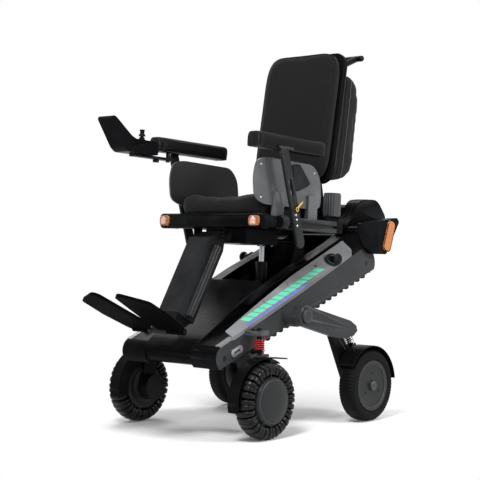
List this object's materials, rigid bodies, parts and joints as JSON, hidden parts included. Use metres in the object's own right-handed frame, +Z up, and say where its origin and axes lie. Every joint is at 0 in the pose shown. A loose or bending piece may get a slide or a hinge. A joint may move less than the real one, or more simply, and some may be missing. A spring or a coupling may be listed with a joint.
{
  "type": "stair climbing wheelchair",
  "caption": "Powered wheelchair with a tilting, reclining seat on a chassis with inclined rubber tracks for stairs, roller front wheels and folding sprung rear wheel arms.",
  "frame": {"origin": "on the floor, on the middle line, at the middle of the length", "axes": "+X to the chair's left, +Y to its back, +Z up"},
  "size_m": [0.684, 1.2981, 1.3139],
  "materials": {
    "shell_plastic": "moulded, fine grain",
    "plate_metal": "powder coat",
    "cover_plastic": "satin lacquer",
    "belt_rubber": "moulded lugs",
    "lamp_amber": "clear amber",
    "dark_metal": "powder coat",
    "bright_steel": "plain",
    "rail_aluminium": "black anodised",
    "spring_red": "powder coat",
    "spring_silver": "plain",
    "tyre_rubber": "tread",
    "roller_rubber": "grooved",
    "hub_plastic": "moulded",
    "cushion_fabric": "woven",
    "panel_plastic": "moulded",
    "pad_leather": "smooth",
    "lever_brass": "plain",
    "bag_fabric": "woven",
    "motor_metal": "cast ribs",
    "knob_plastic": "moulded"
  },
  "bodies": {
    "chassis": {"body_shell": "shell_plastic", "side_plates": "plate_metal", "side_covers": "cover_plastic", "track_belts": "belt_rubber", "tail_cover": "shell_plastic", "tail_lamp_lenses": "lamp_amber", "battery_pack": "dark_metal", "seat_mast": "dark_metal", "chassis_fasteners": "bright_steel"},
    "drive_axle": {"drive_axle": "dark_metal"},
    "idler_axle": {"idler_axle": "dark_metal"},
    "tilt_actuator": {"tilt_actuator": "dark_metal"},
    "actuator_rod": {"actuator_rod": "bright_steel"},
    "seat": {"seat_frame": "dark_metal", "seat_rails": "rail_aluminium", "seat_cushion": "cushion_fabric", "marker_lamps": "lamp_amber", "control_box": "shell_plastic", "recline_motors": "motor_metal", "side_panels": "panel_plastic"},
    "backrest": {"back_shell": "shell_plastic", "back_cushion": "cushion_fabric", "push_frame": "dark_metal", "back_bag": "bag_fabric"},
    "legrest": {"leg_column": "dark_metal", "leg_rails": "rail_aluminium"},
    "controller": {"control_bracket": "dark_metal", "control_pod": "shell_plastic"},
    "joystick_gimbal": {"joystick_gimbal": "dark_metal"},
    "joystick": {"joystick": "knob_plastic"},
    "left_footplate": {"left_footplate": "shell_plastic"},
    "left_armrest": {"left_arm_post": "rail_aluminium", "left_arm_pad": "pad_leather"},
    "left_release_lever": {"left_release_lever": "lever_brass"},
    "left_rear_arm": {"left_rear_link": "dark_metal"},
    "left_rear_suspension": {"left_swing_arm": "dark_metal", "left_rear_fender": "shell_plastic", "left_rear_spring": "spring_silver"},
    "left_rear_wheel": {"left_rear_hub": "hub_plastic", "left_rear_tyre": "tyre_rubber"},
    "left_front_suspension": {"left_front_carrier": "dark_metal", "left_front_fender": "shell_plastic", "left_front_spring": "spring_red"},
    "left_front_wheel": {"left_front_hub": "hub_plastic", "left_front_rollers": "roller_rubber"},
    "right_footplate": {"right_footplate": "shell_plastic"},
    "right_armrest": {"right_arm_post": "rail_aluminium", "right_arm_pad": "pad_leather"},
    "right_release_lever": {"right_release_lever": "lever_brass"},
    "right_rear_arm": {"right_rear_link": "dark_metal"},
    "right_rear_suspension": {"right_swing_arm": "dark_metal", "right_rear_fender": "shell_plastic", "right_rear_spring": "spring_silver"},
    "right_rear_wheel": {"right_rear_hub": "hub_plastic", "right_rear_tyre": "tyre_rubber"},
    "right_front_suspension": {"right_front_carrier": "dark_metal", "right_front_fender": "shell_plastic", "right_front_spring": "spring_red"},
    "right_front_wheel": {"right_front_hub": "hub_plastic", "right_front_rollers": "roller_rubber"}
  },
  "joints": [
    {"name": "track_drive", "type": "hinge", "parent": "chassis", "child": "drive_axle", "pos_m": [0, 0.44416, 0.54885], "axis": [1, 0, 0], "continuous": true},
    {"name": "idler_turn", "type": "hinge", "parent": "chassis", "child": "idler_axle", "pos_m": [0, -0.32654, 0.263], "axis": [1, 0, 0], "continuous": true},
    {"name": "seat_tilt", "type": "hinge", "parent": "chassis", "child": "seat", "pos_m": [0, 0.21959, 0.62739], "axis": [1, 0, 0], "range_deg": [-12, 0]},
    {"name": "actuator_swing", "type": "hinge", "parent": "chassis", "child": "tilt_actuator", "pos_m": [0, 0.10345, 0.45798], "axis": [1, 0, 0], "range_deg": [-0.2895, 0]},
    {"name": "actuator_extend", "type": "slide", "parent": "tilt_actuator", "child": "actuator_rod", "axis": [0, 0.0345, 0.9994], "range_m": [0, 0.02319]},
    {"name": "backrest_recline", "type": "hinge", "parent": "seat", "child": "backrest", "pos_m": [0, 0.31732, 0.73462], "axis": [1, 0, 0], "range_deg": [-12, 20]},
    {"name": "legrest_swing", "type": "hinge", "parent": "seat", "child": "legrest", "pos_m": [0, -0.15254, 0.65], "axis": [1, 0, 0], "range_deg": [-45, 0]},
    {"name": "left_footplate_flip", "type": "hinge", "parent": "legrest", "child": "left_footplate", "pos_m": [0.08, -0.41022, 0.34816], "axis": [1, 0, 0], "range_deg": [-60, 0]},
    {"name": "left_armrest_flip", "type": "hinge", "parent": "seat", "child": "left_armrest", "pos_m": [0.254, -0.01279, 0.6937], "axis": [1, 0, 0], "range_deg": [-50, 0]},
    {"name": "left_release_press", "type": "hinge", "parent": "left_armrest", "child": "left_release_lever", "pos_m": [0.264, -0.02578, 0.74053], "axis": [1, 0, 0], "range_deg": [0, 20], "stiffness_Nm_per_rad": 0.3, "springref_deg": -6.88},
    {"name": "left_rear_arm_fold", "type": "hinge", "parent": "chassis", "child": "left_rear_arm", "pos_m": [0.25, -0.00026, 0.38402], "axis": [1, 0, 0], "range_deg": [0, 70]},
    {"name": "left_rear_suspension_swing", "type": "hinge", "parent": "left_rear_arm", "child": "left_rear_suspension", "pos_m": [0.251, 0.19174, 0.31802], "axis": [1, 0, 0], "range_deg": [-4, 7], "stiffness_Nm_per_rad": 400, "springref_deg": -4.01, "deforming": ["left_rear_spring"]},
    {"name": "left_rear_wheel_spin", "type": "hinge", "parent": "left_rear_suspension", "child": "left_rear_wheel", "pos_m": [0.307, 0.31046, 0.125], "axis": [1, 0, 0], "continuous": true},
    {"name": "left_front_suspension_travel", "type": "slide", "parent": "chassis", "child": "left_front_suspension", "axis": [0, 0, 1], "range_m": [-0.01, 0.02], "stiffness_N_per_m": 25000, "springref_m": -0.006, "deforming": ["left_front_spring"]},
    {"name": "left_front_wheel_spin", "type": "hinge", "parent": "left_front_suspension", "child": "left_front_wheel", "pos_m": [0.29, -0.21854, 0.125], "axis": [1, 0, 0], "continuous": true},
    {"name": "right_footplate_flip", "type": "hinge", "parent": "legrest", "child": "right_footplate", "pos_m": [-0.08, -0.41022, 0.34816], "axis": [1, 0, 0], "range_deg": [-60, 0]},
    {"name": "right_armrest_flip", "type": "hinge", "parent": "seat", "child": "right_armrest", "pos_m": [-0.254, -0.01279, 0.6937], "axis": [1, 0, 0], "range_deg": [-50, 0]},
    {"name": "right_release_press", "type": "hinge", "parent": "right_armrest", "child": "right_release_lever", "pos_m": [-0.264, -0.02578, 0.74053], "axis": [1, 0, 0], "range_deg": [0, 20], "stiffness_Nm_per_rad": 0.3, "springref_deg": -6.88},
    {"name": "right_rear_arm_fold", "type": "hinge", "parent": "chassis", "child": "right_rear_arm", "pos_m": [-0.25, -0.00026, 0.38402], "axis": [1, 0, 0], "range_deg": [0, 70]},
    {"name": "right_rear_suspension_swing", "type": "hinge", "parent": "right_rear_arm", "child": "right_rear_suspension", "pos_m": [-0.251, 0.19174, 0.31802], "axis": [1, 0, 0], "range_deg": [-4, 7], "stiffness_Nm_per_rad": 400, "springref_deg": -4.01, "deforming": ["right_rear_spring"]},
    {"name": "right_rear_wheel_spin", "type": "hinge", "parent": "right_rear_suspension", "child": "right_rear_wheel", "pos_m": [-0.307, 0.31046, 0.125], "axis": [1, 0, 0], "continuous": true},
    {"name": "right_front_suspension_travel", "type": "slide", "parent": "chassis", "child": "right_front_suspension", "axis": [0, 0, 1], "range_m": [-0.01, 0.02], "stiffness_N_per_m": 25000, "springref_m": -0.006, "deforming": ["right_front_spring"]},
    {"name": "right_front_wheel_spin", "type": "hinge", "parent": "right_front_suspension", "child": "right_front_wheel", "pos_m": [-0.29, -0.21854, 0.125], "axis": [1, 0, 0], "continuous": true},
    {"name": "controller_swing", "type": "hinge", "parent": "right_armrest", "child": "controller", "pos_m": [-0.226, -0.13965, 0.91285], "axis": [0, 0.061, 0.9981], "range_deg": [-90, 0]},
    {"name": "joystick_pitch", "type": "hinge", "parent": "controller", "child": "joystick_gimbal", "pos_m": [-0.226, -0.2666, 0.9667], "axis": [1, 0, 0], "range_deg": [-15, 15], "stiffness_Nm_per_rad": 0.4},
    {"name": "joystick_roll", "type": "hinge", "parent": "joystick_gimbal", "child": "joystick", "pos_m": [-0.226, -0.2666, 0.9667], "axis": [0, 0.9981, -0.061], "range_deg": [-15, 15], "stiffness_Nm_per_rad": 0.4}
  ],
  "couplings": [
    {"joint": "idler_turn", "follows": "track_drive", "ratio": 1.6905},
    {"joint": "actuator_swing", "follows": "seat_tilt", "ratio": 0.02365},
    {"joint": "actuator_extend", "follows": "seat_tilt", "m_per_rad": -0.11017},
    {"joint": "right_rear_arm_fold", "follows": "left_rear_arm_fold", "ratio": 1}
  ]
}
